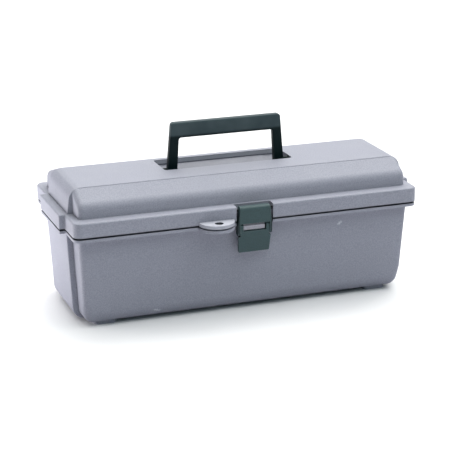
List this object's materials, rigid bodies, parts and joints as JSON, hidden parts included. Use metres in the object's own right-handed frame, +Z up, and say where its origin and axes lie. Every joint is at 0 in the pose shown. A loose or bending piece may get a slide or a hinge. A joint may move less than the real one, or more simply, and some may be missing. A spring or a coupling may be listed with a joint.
{
  "type": "tool box",
  "caption": "Moulded plastic tool box with a domed hinged lid, folding carry handle, two-piece front latch, padlock tab and lift-out tray.",
  "frame": {"origin": "on the floor under the middle of the whole box, padlock tab and hinges included", "axes": "+X along the box, +Y towards the hinges at the back, +Z up; the latch faces -Y"},
  "size_m": [0.4116, 0.1994, 0.2031],
  "materials": {
    "grey_plastic": "fine moulded grain, satin",
    "green_plastic": "dark green-black, half gloss",
    "tray_plastic": "moulded, satin",
    "steel": "drawn wire"
  },
  "bodies": {
    "base": {"base_shell": "grey_plastic", "latch_catch": "grey_plastic", "hinge_pin_left": "steel", "hinge_pin_right": "steel"},
    "lid": {"lid_shell": "grey_plastic", "latch_hinge_pin": "steel"},
    "handle": {"carry_handle": "green_plastic"},
    "link": {"latch_link": "green_plastic", "lever_pins": "steel"},
    "lever": {"latch_lever": "green_plastic"},
    "tray_body": {"tray": "tray_plastic"}
  },
  "joints": [
    {"name": "lid_hinge", "type": "hinge", "parent": "base", "child": "lid", "pos_m": [0, 0.09525, 0.1072], "axis": [-1, 0, 0], "range_deg": [0, 105], "deforming": ["latch_catch"]},
    {"name": "handle_fold", "type": "hinge", "parent": "lid", "child": "handle", "pos_m": [0, 0.00525, 0.1496], "axis": [-1, 0, 0], "range_deg": [-58, 75]},
    {"name": "link_swing", "type": "hinge", "parent": "lid", "child": "link", "pos_m": [0.0025, -0.07625, 0.1197], "axis": [-1, 0, 0], "range_deg": [0, 115]},
    {"name": "lever_swing", "type": "hinge", "parent": "link", "child": "lever", "pos_m": [0.0025, -0.07935, 0.101], "axis": [-1, 0, 0], "range_deg": [0, 95]},
    {"name": "tray_lift", "type": "slide", "parent": "base", "child": "tray_body", "axis": [0, 0, 1], "range_m": [0, 0.012]}
  ]
}
